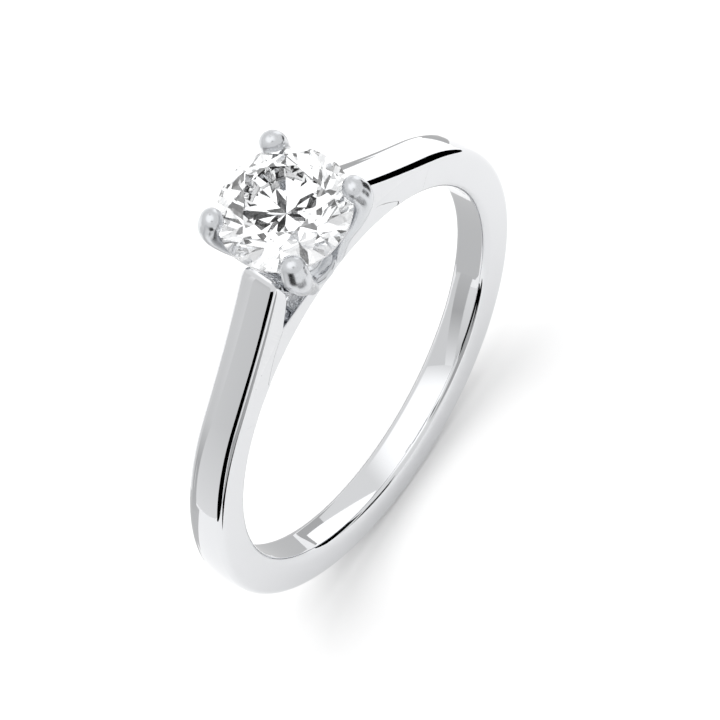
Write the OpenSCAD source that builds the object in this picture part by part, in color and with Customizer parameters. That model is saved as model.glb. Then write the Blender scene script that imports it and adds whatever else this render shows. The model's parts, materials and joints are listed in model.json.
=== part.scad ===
// Solitaire engagement ring: a slim band with cathedral shoulders that sweep up
// to an open four-claw head holding one round brilliant diamond.
// Millimetres. The origin is the centre of the finger hole, Y runs along the
// finger, +Z points out through the stone, and X runs from shoulder to shoulder.

/* [Finger] */
// Inside diameter of the band
finger_d = 17.0; // [16.5:0.1:17.5]

/* [Band] */
// Width of the band along the finger
band_w = 1.7; // [1.6:0.05:1.9]
// Thickness of the band at its back
band_t = 1.78; // [1.7:0.02:1.9]
// Radius that eases the two inside edges for comfort
inner_edge_r = 0.32; // [0.2:0.01:0.4]
// Radius that eases the two outside edges
outer_edge_r = 0.32; // [0.25:0.01:0.4]
// Height of the soft dome across the outside of the band
dome_h = 0.05; // [0.04:0.01:0.1]

/* [Shoulders] */
// Width of a shoulder where it meets the head
shoulder_w = 1.76; // [1.7:0.02:1.9]
// Height of a shoulder's tip above the finger hole's centre
shoulder_top = 12.6; // [12.4:0.05:12.8]
// Distance of a shoulder's tip from the middle of the ring
shoulder_tip = 2.35; // [2.3:0.05:2.45]

/* [Head] */
// Height of the bridge's flat top above the finger hole's centre
bridge_top = 9.4; // [9.35:0.01:9.45]
// Outside diameter of the base rail that the claws stand round
base_rail_d = 2.5; // [2.4:0.05:2.6]
// Height of the base rail
base_rail_h = 0.45; // [0.3:0.05:0.6]
// Outside diameter of the circle that both gallery bars lie on
gallery_d = 4.3; // [4.2:0.02:4.4]
// Height of the gallery bars' undersides above the finger hole's centre
gallery_z = 10.85; // [10.75:0.05:10.95]
// Height of each gallery bar
gallery_h = 0.7; // [0.5:0.05:0.8]
// Turn of the claws about the stone's axis, in degrees
claw_turn = -2; // [-3:0.5:0]
// Thickness of a claw at the girdle
claw_d = 1.0; // [0.9:0.01:1.05]

/* [Stone] */
// Diameter of the round brilliant
stone_d = 5.58; // [5.5:0.02:5.7]
// Height of the middle of the girdle above the finger hole's centre
girdle_z = 14.0; // [13.9:0.05:14.1]
// Width of the table as a share of the diameter
table_share = 0.57; // [0.54:0.01:0.6]
// Slope of the crown's main facets, in degrees
crown_angle = 34.5; // [33:0.5:36]
// Slope of the pavilion's main facets, in degrees
pavilion_angle = 40.75; // [40:0.25:41.5]
// Thickness of the girdle as a share of the diameter
girdle_share = 0.035; // [0.03:0.005:0.045]
// Turn of the stone in its claws, in degrees
stone_turn = 10; // [0:1:45]

/* [Hidden] */
$fn = 96;

METAL = "#dfe2e5";
STONE = "#f4f8fb";

bore_r = finger_d / 2;
band_r = bore_r + band_t;

// Seam between shank and bridge: radial through the bore wall, then leaning
// inwards to the bridge's flat top, from where the shoulder's underside climbs.
seam_angle = 32.2;
seam_in_r = bore_r + 0.42;
seam_in = [seam_in_r * sin(seam_angle), seam_in_r * cos(seam_angle)];
seam_mid = [3.9, 8.68];
bridge_end = [3.06, bridge_top];
arch = [2.5, 10.29];
arm_under = [2.13, 11.07];

// A shoulder stands on a flat filed on the band, from the seam to a butt joint.
// Its top line is one cubic curve from the butt joint to the tip.
sole_r = norm(bridge_end);
butt_angle = 44;
arm_steps = 40;
arm_start = band_r * [sin(butt_angle), cos(butt_angle)];
arm_pull_out = [5.77, 8.72];
arm_pull_in = [3.72, 10.78];
arm_tip = [shoulder_tip, shoulder_top];
arm_nose_r = 0.4;

// A claw's centre line as [distance from the stone's axis, height]
claw_path = [
    [1.2, bridge_top + 0.1], [1.85, 11.1], [2.7, 12.55],
    [3.03, 13.65], [2.9, girdle_z + 0.48]
];
claw_radii = [0.32, 0.38, 0.47, 0.53, 0.5] * claw_d;
claw_fn = 28;

// Facet geometry of the brilliant, all in shares of the diameter
girdle_r = stone_d / 2;
girdle_h = girdle_share * stone_d;
half_step = 22.5;
quarter_step = 11.25;
table_r = table_share / 2;
table_rise = (0.5 - table_r) * tan(crown_angle);
table_edge = table_r * cos(half_step);
star_r = table_edge + 0.5 * (0.5 - table_edge);
star_rise = (0.5 - star_r * cos(half_step)) * tan(crown_angle);
star_angle = atan((table_rise - star_rise) / (star_r - table_edge));
upper_angle = atan(star_rise / ((0.5 - star_r) * cos(quarter_step)));
lower_r = 0.5 * (1 - 0.77);
lower_drop = (0.5 - lower_r * cos(half_step)) * tan(pavilion_angle);
lower_angle = atan(lower_drop / ((0.5 - lower_r) * cos(quarter_step)));
culet_drop = 0.5 * tan(pavilion_angle) - 0.004;

function bezier3(a, b, c, d, t) =
    pow(1 - t, 3) * a + 3 * pow(1 - t, 2) * t * b + 3 * (1 - t) * t * t * c + pow(t, 3) * d;

function arm_top_line() = [
    for (i = [0:arm_steps]) bezier3(arm_start, arm_pull_out, arm_pull_in, arm_tip, i / arm_steps)
];

// Stands an X-Z outline up as a slab of width w centred on the band
module slab(w) {
    rotate([90, 0, 0]) linear_extrude(w, center = true) children();
}

// Spins a section, drawn as [radius, width], round the finger's axis
module round_finger() {
    rotate([90, 0, 0]) rotate_extrude($fn = 180) children();
}

// Section with eased inside edges, from the bore out to radius r
module eased_inside(r) {
    flat_w = band_w - 2 * inner_edge_r;
    edge_x = bore_r + inner_edge_r;
    translate([bore_r, -flat_w / 2]) square([r - bore_r, flat_w]);
    translate([edge_x, -band_w / 2]) square([r - edge_x, band_w]);
    for (side = [-1, 1])
        translate([edge_x, side * flat_w / 2]) circle(inner_edge_r);
}

// Full section of the band: eased inside, softly domed and eased outside
module band_section() {
    dome_r = (band_w * band_w / 4 + dome_h * dome_h) / (2 * dome_h);
    corner_x = band_r - dome_h - outer_edge_r;
    corner_y = band_w / 2 - outer_edge_r;
    intersection() {
        union() {
            eased_inside(corner_x);
            translate([bore_r + inner_edge_r, -corner_y])
                square([band_r - bore_r - inner_edge_r, 2 * corner_y]);
            for (side = [-1, 1])
                translate([corner_x, side * corner_y]) circle(outer_edge_r);
        }
        translate([band_r - dome_r, 0]) circle(dome_r, $fn = 360);
    }
}

module shank() {
    cut_r = 2 * band_r;
    color(METAL) difference() {
        round_finger() band_section();
        slab(2 * band_w) polygon([
            [0, 0], seam_in, seam_mid, bridge_end, [bridge_end.x, cut_r],
            [-bridge_end.x, cut_r], [-bridge_end.x, bridge_end.y],
            [-seam_mid.x, seam_mid.y], [-seam_in.x, seam_in.y]
        ]);
        // Flats that the shoulders stand on
        slab(2 * band_w) difference() {
            polygon([
                [0, 0], cut_r * [sin(butt_angle), cos(butt_angle)],
                cut_r * [-sin(butt_angle), cos(butt_angle)]
            ]);
            circle(sole_r, $fn = 180);
        }
    }
}

// Side outline of a shoulder, closed on the flat that it stands on
module shoulder_outline() {
    heel = (sole_r - 0.4) * [sin(butt_angle), cos(butt_angle)];
    difference() {
        polygon(concat(arm_top_line(), [arm_under, arch, bridge_end, heel]));
        circle(sole_r, $fn = 180);
        // Rounds the nose that faces the stone
        translate(arm_tip - [0.6, 0.5]) square([0.6 + 0.14, 0.7]);
    }
    translate(arm_tip + [0.06, -0.66]) circle(arm_nose_r);
}

module shoulder(side) {
    color(METAL) mirror([side < 0 ? 1 : 0, 0, 0]) difference() {
        intersection() {
            slab(shoulder_w) shoulder_outline();
            linear_extrude(shoulder_top + 1) polygon([
                [0, -shoulder_w / 2], [band_r, -band_w / 2],
                [band_r, band_w / 2], [0, shoulder_w / 2]
            ]);
        }
        cylinder(d = gallery_d, h = 20);
    }
}

module bridge() {
    color(METAL) intersection() {
        round_finger() eased_inside(band_r);
        slab(2 * band_w) polygon([
            [0, 0], seam_in, seam_mid, bridge_end, [-bridge_end.x, bridge_end.y],
            [-seam_mid.x, seam_mid.y], [-seam_in.x, seam_in.y]
        ]);
    }
}

module base_rail() {
    color(METAL) translate([0, 0, bridge_top]) difference() {
        cylinder(d = base_rail_d, h = base_rail_h);
        translate([0, 0, -1]) cylinder(d = base_rail_d - 1.3, h = base_rail_h + 2);
    }
}

// Curved bar between the two claws of one side, where that shoulder lands
module gallery(side) {
    reach = gallery_d;
    color(METAL) mirror([side < 0 ? 1 : 0, 0, 0]) translate([0, 0, gallery_z]) intersection() {
        difference() {
            cylinder(d = gallery_d, h = gallery_h);
            translate([0, 0, -1]) cylinder(d = gallery_d - 1.2, h = gallery_h + 2);
        }
        translate([0, 0, -1]) linear_extrude(gallery_h + 2)
            polygon([[0, 0], [reach, -reach], [reach, reach]]);
    }
}

// Room for the stone: the solid that its outermost edges sweep when it turns
module stone_seat() {
    half_h = girdle_h / 2;
    translate([0, 0, girdle_z]) rotate_extrude($fn = 180) polygon([
        [0, -half_h - culet_drop * stone_d],
        [lower_r * stone_d, -half_h - lower_drop * stone_d],
        [girdle_r, -half_h],
        [girdle_r, half_h],
        [star_r * stone_d, half_h + star_rise * stone_d],
        [table_r * stone_d, half_h + table_rise * stone_d],
        [0, half_h + table_rise * stone_d]
    ]);
}

// One claw: a curved round wire, its foot cut flat and its head notched for the girdle
module claw(side_x, side_y) {
    color(METAL) difference() {
        rotate([0, 0, atan2(side_y, side_x) + claw_turn])
            for (i = [0:len(claw_path) - 2])
                hull()
                    for (j = [i, i + 1])
                        translate([claw_path[j].x, 0, claw_path[j].y])
                            sphere(claw_radii[j], $fn = claw_fn);
        stone_seat();
        translate([-5, -5, bridge_top - 5]) cube([10, 10, 5]);
    }
}

// Cuts away all above one facet plane. The plane leans by angle, and passes
// through the point at radius r and height z on the side at turn.
module facet_cut(turn, r, z, angle) {
    big = 4 * girdle_r;
    rotate([0, 0, turn]) translate([r, 0, z]) rotate([0, angle, 0])
        translate([-big / 2, -big / 2, 0]) cube(big);
}

module diamond() {
    half_h = girdle_h / 2;
    chord = girdle_r * cos(quarter_step);
    crown_h = table_rise * stone_d;
    below = culet_drop * stone_d;
    color(STONE) translate([0, 0, girdle_z]) rotate([0, 0, stone_turn]) difference() {
        translate([0, 0, -half_h - below]) cylinder(r = girdle_r, h = girdle_h + below + crown_h);
        for (i = [0:7]) {
            facet_cut(45 * i, girdle_r, half_h, crown_angle);
            facet_cut(45 * i + half_step, table_edge * stone_d, half_h + crown_h, star_angle);
            mirror([0, 0, 1]) facet_cut(45 * i, girdle_r, half_h, pavilion_angle);
            for (lean = [-1, 1]) {
                turn = 45 * i + half_step + lean * quarter_step;
                facet_cut(turn, chord, half_h, upper_angle);
                mirror([0, 0, 1]) facet_cut(turn, chord, half_h, lower_angle);
            }
        }
    }
}

shank();
shoulder(-1);  // shoulder_left
shoulder(1);  // shoulder_right
bridge();
base_rail();
gallery(-1);  // gallery_left
gallery(1);  // gallery_right
claw(-1, -1);  // claw_front_left
claw(1, -1);  // claw_front_right
claw(-1, 1);  // claw_back_left
claw(1, 1);  // claw_back_right
diamond();
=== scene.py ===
import json
import math

import bmesh
import bpy
import numpy as np
from mathutils import Matrix, Vector


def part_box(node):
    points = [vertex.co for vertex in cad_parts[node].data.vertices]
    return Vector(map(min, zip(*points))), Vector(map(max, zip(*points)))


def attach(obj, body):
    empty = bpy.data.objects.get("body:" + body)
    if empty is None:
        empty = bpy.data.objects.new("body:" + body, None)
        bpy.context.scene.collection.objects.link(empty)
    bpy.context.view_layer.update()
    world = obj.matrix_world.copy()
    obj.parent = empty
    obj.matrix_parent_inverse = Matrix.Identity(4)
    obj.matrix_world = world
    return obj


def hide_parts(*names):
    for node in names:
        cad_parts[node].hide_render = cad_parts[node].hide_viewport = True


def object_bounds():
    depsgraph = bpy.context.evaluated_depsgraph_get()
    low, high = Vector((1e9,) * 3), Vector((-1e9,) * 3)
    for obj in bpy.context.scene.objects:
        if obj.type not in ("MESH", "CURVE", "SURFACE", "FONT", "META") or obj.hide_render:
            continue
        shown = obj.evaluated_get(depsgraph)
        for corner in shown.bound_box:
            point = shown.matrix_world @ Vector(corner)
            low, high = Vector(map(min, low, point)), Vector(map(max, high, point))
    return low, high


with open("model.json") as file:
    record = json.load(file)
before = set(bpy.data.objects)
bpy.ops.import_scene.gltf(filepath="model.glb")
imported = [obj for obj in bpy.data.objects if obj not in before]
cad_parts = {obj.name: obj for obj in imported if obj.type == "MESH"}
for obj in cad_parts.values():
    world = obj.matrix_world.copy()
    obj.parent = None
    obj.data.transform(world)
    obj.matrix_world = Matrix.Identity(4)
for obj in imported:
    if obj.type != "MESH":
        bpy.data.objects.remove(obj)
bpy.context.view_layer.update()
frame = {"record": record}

# ---------------------------------------------------------------- Shank
# The round band, bent from a drawn platinum strip and filed to a soft dome
# outside and eased edges inside. Its ends are cut on a slant for the bridge,
# and a small step on each side takes the foot of a shoulder.

MM = 0.001
bore_r = frame["record"]["mounts"][0]["dims"]["r_mm"] * MM
band_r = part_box("shank")[1][0]
inner_ease = 0.31 * MM
outer_ease = 0.33 * MM
dome_rise = 0.05 * MM
half_width_mid = 0.85 * MM
half_width_taper = 0.0035
butt_angle = 44.0
seam_angle = 32.2
seam_r = bore_r + 0.42 * MM
seam_middle = MM * np.array([3.9, 8.68])
bridge_end = np.array([3.06 * MM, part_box("bridge")[1][2]])
sole_r = float(np.hypot(*bridge_end))

# The top of a shoulder is one cubic curve that leaves the band where the shoulder is butted on
butt_turn = math.radians(butt_angle)
rise_curve = [
    band_r * np.array([math.sin(butt_turn), math.cos(butt_turn)]),
    MM * np.array([5.77, 8.72]), MM * np.array([3.72, 10.78]), MM * np.array([2.35, 12.6])
]
rise_t = np.linspace(0, 1, 600)[:, None]
rise_points = sum(
    math.comb(3, k) * (1 - rise_t) ** (3 - k) * rise_t ** k * rise_curve[k] for k in range(4)
)
rise_angles = np.degrees(np.arctan2(rise_points[:, 0], rise_points[:, 1]))
rise_radii = np.hypot(rise_points[:, 0], rise_points[:, 1])
tip_angle = rise_angles[-1]


def skin_radius(angle):
    """Distance of the ring's outer skin from the finger's axis, by angle from the top."""
    return float(np.interp(angle, rise_angles[::-1], rise_radii[::-1]))


def seam_radius(angle):
    """Distance of the seam between bridge and shank from the finger's axis."""
    middle = math.degrees(math.atan2(*seam_middle))
    end = math.degrees(math.atan2(*bridge_end))
    return float(np.interp(
        angle, [end, middle, seam_angle], [sole_r, float(np.hypot(*seam_middle)), seam_r]
    ))


def half_width(z):
    """Half the ring's width at height z: it narrows a little towards the back."""
    return half_width_mid + half_width_taper * z


def arc_points(steps, start, end):
    """Unit vectors along an arc, from one angle to another in degrees."""
    turns = np.radians(np.linspace(start, end, steps + 1))
    return [(math.cos(t), math.sin(t)) for t in turns]


def section_outline(low, high, half, low_ease, high_ease, rise, dome_steps=16):
    """A band section as (height, across) points, from low to high, with eased corners
    and a dome of that rise across its top."""
    points = []
    ease_steps = 9
    for c, s in arc_points(ease_steps, 180, 270):
        points.append((low + low_ease + low_ease * c, -half + low_ease + low_ease * s))
    for c, s in arc_points(ease_steps, 270, 360):
        points.append((high - rise - high_ease + high_ease * c, -half + high_ease + high_ease * s))
    edge = half - high_ease
    for k in range(1, dome_steps):
        y = -edge + 2 * edge * k / dome_steps
        points.append((high - rise + rise * (1 - (y / edge) ** 2), y))
    mirrored = [(h, -y) for h, y in points[: 2 * ease_steps + 2]]
    return points + mirrored[::-1]


def loft(name, rings, closed=False, sharp=38):
    """A closed mesh through rings of points, capped at both ends, smooth but for sharp edges."""
    count = len(rings[0])
    verts = [tuple(p) for ring in rings for p in ring]
    faces = []
    spans = len(rings) if closed else len(rings) - 1
    for i in range(spans):
        a, b = i * count, ((i + 1) % len(rings)) * count
        for j in range(count):
            k = (j + 1) % count
            faces.append((a + j, a + k, b + k, b + j))
    if not closed:
        faces.append(tuple(range(count - 1, -1, -1)))
        faces.append(tuple(range((len(rings) - 1) * count, len(rings) * count)))
    mesh = bpy.data.meshes.new(name)
    mesh.from_pydata(verts, [], faces)
    tidy = bmesh.new()
    tidy.from_mesh(mesh)
    bmesh.ops.remove_doubles(tidy, verts=tidy.verts, dist=0.0004 * MM)
    bmesh.ops.recalc_face_normals(tidy, faces=tidy.faces)
    tidy.to_mesh(mesh)
    tidy.free()
    mesh.shade_smooth()
    mesh.set_sharp_from_angle(angle=math.radians(sharp))
    piece = bpy.data.objects.new(name, mesh)
    bpy.context.scene.collection.objects.link(piece)
    return piece


def spun_ring(angle, outline):
    """Section points carried to an angle round the finger, 0 at the top and 90 to the right."""
    a = math.radians(angle)
    return [(h * math.sin(a), y, h * math.cos(a)) for h, y in outline]


def add_node(tree, kind, values=None, links=None, **settings):
    """Adds a node with its settings, socket values and links in."""
    made = tree.nodes.new(kind)
    for key, value in settings.items():
        setattr(made, key, value)
    for key, value in (values or {}).items():
        made.inputs[key].default_value = value
    for key, source in (links or {}).items():
        tree.links.new(source, made.inputs[key])
    return made


def linear(hex_colour):
    """A linear colour from an sRGB hex value."""
    parts = [int(hex_colour[i : i + 2], 16) / 255 for i in (1, 3, 5)]
    return [c / 12.92 if c <= 0.04045 else ((c + 0.055) / 1.055) ** 2.4 for c in parts] + [1.0]


def polished_platinum(name, hex_colour, roughness, wave_um):
    """950 platinum, polished on a felt wheel: a bright grey mirror, with hairlines from the
    last buff and a faint waviness left by the file. The ring is of one metal, but its grey
    and its polish are set for each part: duller on the head and claws, and darker there as painted
    shade."""
    material = bpy.data.materials.new(name)
    material.use_nodes = True
    tree = material.node_tree
    tree.nodes.clear()
    place = add_node(tree, "ShaderNodeTexCoord").outputs["Object"]
    # Buffing hairlines are about 0.02 mm apart: drawn at 0.08 mm so that they show
    stretch = add_node(tree, "ShaderNodeMapping", {"Scale": (1, 6, 1)}, {"Vector": place})
    hairlines = add_node(
        tree, "ShaderNodeTexNoise", {"Scale": 1 / (0.08 * MM), "Detail": 2.0},
        {"Vector": stretch.outputs["Vector"]}
    )
    # Clouds of slightly duller polish, 3 mm across
    clouds = add_node(
        tree, "ShaderNodeTexNoise", {"Scale": 1 / (3 * MM), "Detail": 3.0}, {"Vector": place}
    )
    both = add_node(
        tree, "ShaderNodeMath", {1: 0.5},
        {0: hairlines.outputs["Fac"], 2: clouds.outputs["Fac"]}, operation="MULTIPLY_ADD"
    )
    rough = add_node(
        tree, "ShaderNodeMapRange",
        {"From Min": 0.3, "From Max": 1.2, "To Min": roughness * 0.6, "To Max": roughness * 1.5},
        {"Value": both.outputs["Value"]}
    )
    dark = [c * 0.97 for c in linear(hex_colour)[:3]] + [1.0]
    tone = add_node(
        tree, "ShaderNodeMix", {"A": dark, "B": linear(hex_colour)},
        {"Factor": clouds.outputs["Fac"]}, data_type="RGBA"
    )
    # The file leaves waves about 1.5 mm long
    waves = add_node(
        tree, "ShaderNodeTexNoise", {"Scale": 1 / (1.5 * MM), "Detail": 0.0}, {"Vector": place}
    )
    bump = add_node(
        tree, "ShaderNodeBump", {"Strength": 1.0, "Distance": wave_um * 1e-6},
        {"Height": waves.outputs["Fac"]}
    )
    shader = add_node(
        tree, "ShaderNodeBsdfPrincipled", {"Metallic": 1.0},
        {
            "Base Color": tone.outputs["Result"], "Roughness": rough.outputs["Result"],
            "Normal": bump.outputs["Normal"]
        }
    )
    add_node(tree, "ShaderNodeOutputMaterial", links={"Surface": shader.outputs["BSDF"]})
    return material


band_polish = polished_platinum("polished_platinum_band", "#dadbdd", 0.03, 0.15)

shank_end = math.degrees(math.atan2(*bridge_end)) + 0.4


def shank_ring(angle, low, under_shoulder):
    """One section of the shank, flat on top where a shoulder sits on it."""
    top = sole_r if under_shoulder else skin_radius(angle)
    half = half_width(top * math.cos(math.radians(angle)))
    return section_outline(
        low, top, half, inner_ease if low == bore_r else 0.002 * MM,
        0.002 * MM if under_shoulder else outer_ease, 0.0 if under_shoulder else dome_rise
    )


half_turn = [(a, seam_radius(a), True) for a in np.linspace(shank_end, seam_angle, 16)]
half_turn += [(a, bore_r, True) for a in np.linspace(seam_angle, butt_angle, 16)]
half_turn += [(a, bore_r, False) for a in np.linspace(butt_angle, 180, 180)]
full_turn = half_turn + [(360 - a, low, flat) for a, low, flat in half_turn[-2::-1]]
shank = loft(
    "shank_piece",
    [spun_ring(a, shank_ring(min(a, 360 - a), low, flat)) for a, low, flat in full_turn]
)
shank.data.materials.append(band_polish)
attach(shank, "root")
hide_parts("shank")

# ---------------------------------------------------------------- Shoulders
# Two cathedral shoulders, filed from the same strip and soldered on the band.
# Each sweeps up off it to a blunt, buffed nose against the head.

nose_r = 0.6 * MM
under_curve = MM * np.array([
    [3.06, 9.4], [2.75, 9.84], [2.5, 10.29], [2.29, 10.7], [2.13, 11.07], [1.98, 11.6]
])
under_angles = np.degrees(np.arctan2(under_curve[:, 0], under_curve[:, 1]))
under_radii = np.hypot(under_curve[:, 0], under_curve[:, 1])
lift_angle = under_angles[0]


def shoulder_ring(angle, inset):
    """One section of a shoulder. Inset rounds its end into the nose."""
    low = sole_r
    if angle < lift_angle:
        low = float(np.interp(angle, under_angles[::-1], under_radii[::-1]))
    high = skin_radius(angle)
    free = min(max((lift_angle - angle) / 2.0, 0.0), 1.0)
    half = half_width(high * math.cos(math.radians(angle))) - 0.8 * inset
    return section_outline(
        low + 0.6 * inset, high - inset, half, 0.002 * MM + free * 0.12 * MM, outer_ease,
        dome_rise * (1 - inset / nose_r * 0.5)
    )


steady = [butt_angle + (tip_angle + 1.9 - butt_angle) * k / 110 for k in range(111)]
tip_span = nose_r / (12.8 * MM)
rings_in = [(a, 0.0) for a in steady]
nose_start = math.radians(steady[-1])
for c, s in arc_points(10, 0, 90)[1:]:
    rings_in.append((math.degrees(nose_start - tip_span * s), nose_r * (1 - c) * 0.98))
for side, name in ((-1, "shoulder_left"), (1, "shoulder_right")):
    rings = [
        [(side * x, y, z) for x, y, z in spun_ring(a, shoulder_ring(a, inset))]
        for a, inset in rings_in
    ]
    shoulder = loft(name + "_piece", rings)
    shoulder.data.materials.append(band_polish)
    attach(shoulder, "root")
    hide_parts(name)

# ---------------------------------------------------------------- Bridge
# The curved bar under the head that closes the finger circle. It is soldered
# between the ends of the band, and its flat top carries the base rail.

bridge_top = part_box("bridge")[1][2]
bridge_side = -0.02 * MM
bridge_rings = []
for k in range(121):
    angle = -seam_angle + 2 * seam_angle * k / 120
    top = bridge_top / math.cos(math.radians(angle))
    if abs(angle) > lift_angle:
        top = seam_radius(abs(angle))
    half = half_width(top) + bridge_side
    bridge_rings.append(
        spun_ring(angle, section_outline(bore_r, top, half, inner_ease, 0.08 * MM, 0.0))
    )
bridge = loft("bridge_piece", bridge_rings)
bridge.data.materials.append(band_polish)
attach(bridge, "root")
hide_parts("bridge")

# ---------------------------------------------------------------- Base rail
# A small ring of round-edged wire on the bridge. The feet of the four claws
# are soldered into it.

rail_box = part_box("base_rail")
rail_out = rail_box[1][0]
rail_in = rail_out - 0.65 * MM
# The same platinum as the band, in a darker grey: painted shade on the parts of the head.
head_platinum_painted_shade = polished_platinum("polished_platinum_head_painted_shade", "#c8cacd", 0.05, 0.1)


def wire_outline(inner, outer, low, high, ease):
    """Round-edged section of a rail as (radius, height) points."""
    points = []
    for (r, z), start in (
        ((outer - ease, high - ease), 0), ((inner + ease, high - ease), 90),
        ((inner + ease, low + ease), 180), ((outer - ease, low + ease), 270),
    ):
        points += [(r + ease * c, z + ease * s) for c, s in arc_points(6, start, start + 90)]
    return points


rail_section = wire_outline(rail_in, rail_out, rail_box[0][2], rail_box[1][2], 0.15 * MM)
base_rail = loft(
    "base_rail_piece",
    [[(r * c, r * s, z) for r, z in rail_section] for c, s in arc_points(96, 0, 360)[:-1]],
    closed=True
)
base_rail.data.materials.append(head_platinum_painted_shade)
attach(base_rail, "root")
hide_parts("base_rail")

# ---------------------------------------------------------------- Gallery bars
# Two short curved bars of the same wire, soldered between the claws of each
# side. The nose of a shoulder lands on each one.

for side, name in ((-1, "gallery_left"), (1, "gallery_right")):
    low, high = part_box(name)
    bar_out = max(abs(low[0]), abs(high[0]))
    bar_section = wire_outline(bar_out - 0.6 * MM, bar_out, low[2], high[2], 0.16 * MM)
    bar = loft(
        name + "_piece",
        [[(side * r * c, r * s, z) for r, z in bar_section] for c, s in arc_points(40, -42, 42)]
    )
    bar.data.materials.append(head_platinum_painted_shade)
    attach(bar, "root")
    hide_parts(name)

# ---------------------------------------------------------------- Diamond
# A round brilliant of about 0.65 carat: 33 crown facets, a thin bruted girdle
# and 24 pavilion facets with a tiny culet, all cut to one set of angles.

stone_low, stone_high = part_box("diamond")
girdle_r = stone_high[0]
stone_d = 2 * girdle_r
crown_angle = 34.5
pavilion_angle = 40.75
table_r = 0.285 * stone_d
girdle_half = 0.0175 * stone_d
stone_turn = 10.0
table_rise = (girdle_r - table_r) * math.tan(math.radians(crown_angle))
girdle_z = stone_high[2] - table_rise - girdle_half


def slope(rise, run):
    return math.degrees(math.atan2(rise, run))


half_turn_cos = math.cos(math.radians(22.5))
quarter_turn_cos = math.cos(math.radians(11.25))
table_edge = table_r * half_turn_cos
star_r = table_edge + 0.5 * (girdle_r - table_edge)
star_rise = (girdle_r - star_r * half_turn_cos) * math.tan(math.radians(crown_angle))
star_angle = slope(table_rise - star_rise, star_r - table_edge)
upper_angle = slope(star_rise, (girdle_r - star_r) * quarter_turn_cos)
lower_r = 0.23 * girdle_r
lower_drop = (girdle_r - lower_r * half_turn_cos) * math.tan(math.radians(pavilion_angle))
lower_angle = slope(lower_drop, (girdle_r - lower_r) * quarter_turn_cos)
chord_r = girdle_r * quarter_turn_cos
culet_z = stone_low[2]


def cut_facet(stone, turn, radius, z, lean):
    """Grinds one flat facet: all of the stone above the leaning plane goes."""
    a, e = math.radians(turn + stone_turn), math.radians(abs(lean))
    up = math.copysign(1.0, lean)
    normal = Vector((math.sin(e) * math.cos(a), math.sin(e) * math.sin(a), up * math.cos(e)))
    point = Vector((radius * math.cos(a), radius * math.sin(a), z))
    made = bmesh.ops.bisect_plane(
        stone, geom=stone.verts[:] + stone.edges[:] + stone.faces[:], dist=1e-9,
        plane_co=point, plane_no=normal, clear_outer=True
    )
    edges = [g for g in made["geom_cut"] if isinstance(g, bmesh.types.BMEdge)]
    bmesh.ops.edgeloop_fill(stone, edges=edges)


stone_bm = bmesh.new()
bmesh.ops.create_cone(
    stone_bm, cap_ends=True, segments=256, radius1=girdle_r, radius2=girdle_r,
    depth=stone_high[2] - culet_z,
    matrix=Matrix.Translation((0, 0, (stone_high[2] + culet_z) / 2))
)
crown_base = girdle_z + girdle_half
pavilion_base = girdle_z - girdle_half
for k in range(8):
    cut_facet(stone_bm, 45 * k, girdle_r, crown_base, crown_angle)
    cut_facet(stone_bm, 45 * k, girdle_r, pavilion_base, -pavilion_angle)
for k in range(8):
    cut_facet(stone_bm, 45 * k + 22.5, table_edge, crown_base + table_rise, star_angle)
    for lean in (-11.25, 11.25):
        cut_facet(stone_bm, 45 * k + 22.5 + lean, chord_r, crown_base, upper_angle)
        cut_facet(stone_bm, 45 * k + 22.5 + lean, chord_r, pavilion_base, -lower_angle)
bmesh.ops.recalc_face_normals(stone_bm, faces=stone_bm.faces)
stone_mesh = bpy.data.meshes.new("diamond_piece")
stone_bm.to_mesh(stone_mesh)
stone_bm.free()
diamond = bpy.data.objects.new("diamond_piece", stone_mesh)
bpy.context.scene.collection.objects.link(diamond)


def cut_diamond(name, roughness, grain):
    """Colourless diamond. Its index of 2.417 and flat, optically polished facets make it
    sparkle; the bruted girdle is left with a fine grey grain."""
    material = bpy.data.materials.new(name)
    material.use_nodes = True
    tree = material.node_tree
    tree.nodes.clear()
    place = add_node(tree, "ShaderNodeTexCoord").outputs["Object"]
    speckle = add_node(tree, "ShaderNodeTexNoise", {"Scale": 1 / (0.1 * MM)}, {"Vector": place})
    rough = add_node(
        tree, "ShaderNodeMapRange", {"To Min": roughness, "To Max": roughness + grain},
        {"Value": speckle.outputs["Fac"]}
    )
    shader = add_node(
        tree, "ShaderNodeBsdfPrincipled",
        {"Base Color": linear("#fbfcfd"), "IOR": 2.417, "Transmission Weight": 1.0},
        {"Roughness": rough.outputs["Result"]}
    )
    add_node(tree, "ShaderNodeOutputMaterial", links={"Surface": shader.outputs["BSDF"]})
    return material


diamond.data.materials.append(cut_diamond("diamond_polished_facets", 0.0, 0.004))
diamond.data.materials.append(cut_diamond("diamond_bruted_girdle", 0.25, 0.3))
for face in diamond.data.polygons:
    face.use_smooth = False
    face.material_index = 1 if abs(face.normal.z) < 0.05 else 0
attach(diamond, "root")
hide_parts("diamond")

# ---------------------------------------------------------------- Claws
# Four claws of round wire that swell at the girdle. Each is notched for the
# stone, and its head is burnished over the crown into a smooth bead.

claw_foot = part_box("claw_front_left")[0][2]
claw_path = MM * np.array([
    [1.2, claw_foot / MM], [1.78, 10.9], [2.5, 12.15], [2.97, 13.3], [3.05, 13.95], [2.9, 14.46]
])
claw_across = MM * np.array([0.32, 0.38, 0.47, 0.56, 0.58, 0.53])
claw_deep = MM * np.array([0.30, 0.36, 0.43, 0.49, 0.51, 0.48])
head_turn = math.radians(-2)
# The same platinum as the band, in a darker grey: painted shade on the claws. The higher roughness
# is their duller polish.
claw_platinum_painted_shade = polished_platinum("burnished_platinum_claw_painted_shade", "#cfd1d4", 0.24, 0.1)


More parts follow.
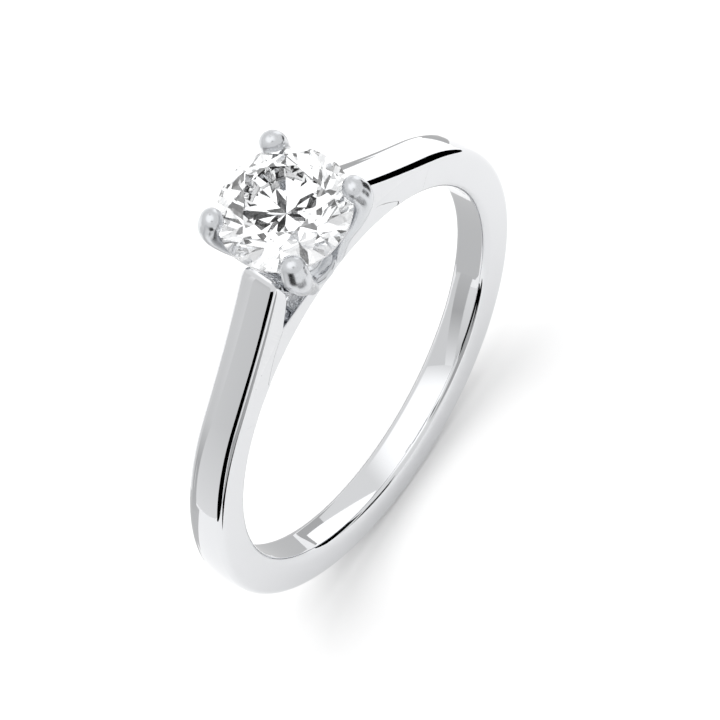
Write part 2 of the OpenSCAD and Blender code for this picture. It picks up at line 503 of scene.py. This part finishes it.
def smooth_through(values, steps):
    """Samples of a smooth curve that passes through the given values."""
    values = np.asarray(values, float)
    padded = np.concatenate([[2 * values[0] - values[1]], values, [2 * values[-1] - values[-2]]])
    out = []
    for i in range(len(values) - 1):
        p0, p1, p2, p3 = padded[i : i + 4]
        for t in np.linspace(0, 1, steps, endpoint=False):
            out.append(
                0.5 * (2 * p1 + (p2 - p0) * t + (2 * p0 - 5 * p1 + 4 * p2 - p3) * t * t
                       + (3 * p1 - p0 - 3 * p2 + p3) * t ** 3)
            )
    return np.array(out + [values[-1]])


def claw_rings(turn):
    """Rings of a claw in place, from its foot to the top of its bead."""
    centres = smooth_through(claw_path, 8)
    across = smooth_through(claw_across, 8)
    deep = smooth_through(claw_deep, 8)
    heading = np.gradient(centres, axis=0)
    heading /= np.linalg.norm(heading, axis=1)[:, None]
    heading[0] = (0, 1)
    stations = [(centres[i], heading[i], across[i], deep[i]) for i in range(len(centres))]
    tip, way = centres[-1], heading[-1]
    for c, s in arc_points(10, 0, 86)[1:]:
        stations.append((tip + way * deep[-1] * s, way, across[-1] * c, deep[-1] * c))
    c_turn, s_turn = math.cos(turn), math.sin(turn)
    rings = []
    for centre, way, wide, thick in stations:
        ring = []
        for c, s in arc_points(40, 0, 360)[:-1]:
            r = centre[0] + way[1] * thick * c
            z = centre[1] - way[0] * thick * c
            t = wide * s
            ring.append((r * c_turn - t * s_turn, r * s_turn + t * c_turn, z))
        rings.append(ring)
    return rings


def seat_cutter():
    """The room that the stone takes, a hair larger than the stone."""
    gap = 0.004 * MM
    profile = [
        (0.0001 * MM, pavilion_base - gap - lower_drop * 1.3),
        (girdle_r + gap, pavilion_base - gap), (girdle_r + gap, crown_base + gap),
        (star_r + gap, crown_base + star_rise + gap),
        (table_r + gap, crown_base + table_rise + 3 * gap),
        (0.0001 * MM, crown_base + table_rise + 3 * gap)
    ]
    return loft(
        "seat", [[(r * c, r * s, z) for c, s in arc_points(192, 0, 360)[:-1]] for r, z in profile]
    )


seat = seat_cutter()
for side_x, side_y, name in (
    (-1, -1, "claw_front_left"), (1, -1, "claw_front_right"),
    (-1, 1, "claw_back_left"), (1, 1, "claw_back_right")
):
    claw = loft(name + "_piece", claw_rings(math.atan2(side_y, side_x) + head_turn))
    notch = claw.modifiers.new("notch", "BOOLEAN")
    notch.operation = "DIFFERENCE"
    notch.object = seat
    notch.solver = "EXACT"
    evaluated = claw.evaluated_get(bpy.context.evaluated_depsgraph_get())
    cut_mesh = bpy.data.meshes.new_from_object(evaluated)
    claw.modifiers.clear()
    claw.data = cut_mesh
    cut_mesh.shade_smooth()
    cut_mesh.set_sharp_from_angle(angle=math.radians(38))
    cut_mesh.materials.clear()
    cut_mesh.materials.append(claw_platinum_painted_shade)
    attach(claw, "root")
    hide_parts(name)
bpy.data.objects.remove(seat)

# ---------------------------------------------------------------- Studio
# A pale floor that the ring stands on, and one soft box over it. The cards round them
# are hidden from the camera, and shape what the metal mirrors and the stone lets through.

scene = bpy.context.scene
floor_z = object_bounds()[0][2] - 0.01 * MM


def stage_sheet(name, corners):
    """A flat sheet that isn't part of the object, and its material's empty node tree."""
    mesh = bpy.data.meshes.new(name)
    mesh.from_pydata(corners, [], [(0, 1, 2, 3)])
    sheet = bpy.data.objects.new(name, mesh)
    scene.collection.objects.link(sheet)
    material = bpy.data.materials.new(name)
    material.use_nodes = True
    material.node_tree.nodes.clear()
    mesh.materials.append(material)
    return sheet, material.node_tree


def rectangle(width, depth):
    """Corners of a level rectangle about the origin."""
    w, d = width / 2, depth / 2
    return [(-w, -d, 0), (w, -d, 0), (w, d, 0), (-w, d, 0)]


def make_card(card, tree, glow, hidden_from=()):
    """Makes a sheet glow by the given socket. It never shows to the camera, lights a matt
    surface or casts a shadow, and hidden_from names other kinds of ray that miss it."""
    shader = add_node(tree, "ShaderNodeEmission", links={"Strength": glow})
    add_node(tree, "ShaderNodeOutputMaterial", links={"Surface": shader.outputs["Emission"]})
    for kind in ("camera", "diffuse", "shadow", *hidden_from):
        setattr(card, "visible_" + kind, False)


def level_card(name, width, depth, place, tone, edge_tone=None, turn=0.0, hidden_from=()):
    """A level card whose glow can fade from the middle to the edge."""
    card, tree = stage_sheet(name, rectangle(width, depth))
    card.location = place
    card.rotation_euler.z = math.radians(turn)
    fade_start, fade_end = 0.22 * width, 0.5 * width
    here = add_node(tree, "ShaderNodeTexCoord").outputs["Object"]
    away = add_node(tree, "ShaderNodeVectorMath", links={0: here}, operation="LENGTH")
    glow = add_node(
        tree, "ShaderNodeMapRange",
        {
            "From Min": fade_start, "From Max": fade_end, "To Min": tone,
            "To Max": tone if edge_tone is None else edge_tone
        },
        {"Value": away.outputs["Value"]}, interpolation_type="SMOOTHSTEP"
    )
    make_card(card, tree, glow.outputs["Result"], hidden_from)
    return card


def wall(name, start, end, low, high, tone, top_tone=None):
    """An upright card beside the ring, in millimetres, from one tone to another up its height."""
    corners = [(*start, low), (*end, low), (*end, high), (*start, high)]
    card, tree = stage_sheet(name, [[v * MM for v in corner] for corner in corners])
    here = add_node(tree, "ShaderNodeTexCoord").outputs["Object"]
    height = add_node(tree, "ShaderNodeSeparateXYZ", links={"Vector": here}).outputs["Z"]
    glow = add_node(
        tree, "ShaderNodeMapRange",
        {
            "From Min": low * MM, "From Max": high * MM, "To Min": tone,
            "To Max": tone if top_tone is None else top_tone
        },
        {"Value": height}
    )
    make_card(card, tree, glow.outputs["Result"])


floor, floor_tree = stage_sheet("floor", rectangle(3.0, 3.0))
floor.location.z = floor_z
paper = add_node(floor_tree, "ShaderNodeBsdfDiffuse", {"Color": (0.9, 0.9, 0.9, 1)})
add_node(floor_tree, "ShaderNodeOutputMaterial", links={"Surface": paper.outputs["BSDF"]})

wall("light_wall_back", (-15, 26), (-22.8, 14.8), -10, 22, 0.85)
wall("grey_wall_back_low", (-22.8, 14.8), (-24.2, 11.8), -10, 2, 0.66, 0.54)
wall("grey_wall_back_high", (-22.8, 14.8), (-24.2, 11.8), 2, 22, 0.54, 1.1)
wall("grey_wall_left", (-24.2, 11.8), (-31, -2), -6.5, 22, 1.0, 0.72)
wall("black_wall_left", (-31, -2), (-23, -18), -8, 17, 0.0)
wall("grey_wall_front", (-16, -12), (-6, -16), -4, 6, 0.55, 0.45)
wall("black_wall_front", (-16, -12), (-6, -16), -10, -4, 0.0)
wall("grey_wall_front_near", (-6, -16), (0, -18), -10, 6, 0.55, 0.45)
wall("black_wall_front_right", (11, -27), (20, -21), -4, 6, 0.0)
wall("black_wall_right", (24, -17), (31.5, 0), -10, 9, 0.0)
wall("white_wall_right", (31.5, 0), (26, 14), -10, 26, 1.5)
wall("grey_wall_far", (26, 14), (19, 24), -10, -1, 0.55)

low_card_z = floor_z + 0.5 * MM
level_card("grey_card_far", 18 * MM, 15 * MM, (21 * MM, 16 * MM, low_card_z), 0.55)
level_card("grey_card_back", 36 * MM, 9 * MM, (-10 * MM, 10 * MM, low_card_z), 0.68, turn=-22)
level_card("overhead_sheet", 0.7, 0.7, (-0.05, 0.05, 0.36), 1.5, 0.95)

# A bright ceiling with dark bars in it, which only the light through the stone meets
through_stone = ("glossy",)
bar_tone = 0.02
bar_z = 0.33
level_card("stone_ceiling", 1.1, 1.1, (0, 0, 0.34), 1.7, 0.6, hidden_from=through_stone)
level_card("dark_bar_left", 0.05, 0.5, (-0.16, 0, bar_z), bar_tone, hidden_from=through_stone)
level_card("dark_bar_right", 0.05, 0.5, (0.12, 0, bar_z), bar_tone, hidden_from=through_stone)
level_card("dark_bar_back", 0.3, 0.06, (-0.02, 0.14, bar_z), bar_tone, hidden_from=through_stone)

world = bpy.data.worlds.new("studio")
scene.world = world
world.use_nodes = True
world.node_tree.nodes["Background"].inputs["Color"].default_value = (1, 1, 1, 1)
world.node_tree.nodes["Background"].inputs["Strength"].default_value = 0.95

camera_data = bpy.data.cameras.new("camera")
camera = bpy.data.objects.new("camera", camera_data)
scene.collection.objects.link(camera)
camera_turn, camera_height, camera_roll = map(math.radians, (-35.223, 61.192, -23.024))
camera_distance = 308.5 * MM
camera_aim_right = 0.342 * MM
camera_aim_up = 0.249 * MM
camera_back = Vector((
    math.sin(camera_turn) * math.cos(camera_height),
    -math.cos(camera_turn) * math.cos(camera_height), math.sin(camera_height)
))
level = Vector((math.cos(camera_turn), math.sin(camera_turn), 0))
upright = camera_back.cross(level)
camera_right = math.cos(camera_roll) * level + math.sin(camera_roll) * upright
camera_up = camera_back.cross(camera_right)
camera.matrix_world = Matrix((camera_right, camera_up, camera_back)).transposed().to_4x4()
camera.location = (
    camera_aim_right * camera_right + camera_aim_up * camera_up + camera_distance * camera_back
)
camera_data.sensor_width = 36
camera_data.lens = 373.6
camera_data.clip_start = 0.01
scene.camera = camera

# The lens hood behind the camera is dark. The light through the stone meets a wider one
facing_ring = camera_back.to_track_quat("Z", "Y").to_euler()
hood = level_card("lens_hood", 0.07, 0.07, camera.location * 1.05, 0.0)
dark_hood = level_card(
    "dark_hood", 0.125, 0.125, camera.location * 1.04, bar_tone, hidden_from=through_stone
)
hood.rotation_euler = facing_ring
dark_hood.rotation_euler = facing_ring

# The stone's flat table mirrors this small card, so that the facets under it show their darks.
# It hangs on the line that the table mirrors into the camera, at a small share of the way
table_middle = Vector((0, 0, stone_high[2]))
to_camera = camera.location - table_middle
mirrored_way = Vector((-to_camera.x, -to_camera.y, to_camera.z))
table_card_share = 0.075
level_card(
    "dark_card_table", 3.8 * MM, 3.8 * MM, table_middle + mirrored_way * table_card_share, 0.15,
    hidden_from=("transmission",)
)

scene.view_settings.view_transform = "Standard"
scene.cycles.max_bounces = 24
scene.cycles.transmission_bounces = 24
scene.cycles.glossy_bounces = 12

box_data = bpy.data.lights.new("overhead_box", "AREA")
box_data.shape = "RECTANGLE"
box_data.size = 0.35
box_data.size_y = 0.35
box_data.energy = 0.9
box = bpy.data.objects.new("overhead_box", box_data)
box.location = (-0.02, 0.1, 0.4)
box.rotation_euler = (-box.location).to_track_quat("-Z", "Y").to_euler()
box.visible_glossy = False
scene.collection.objects.link(box)
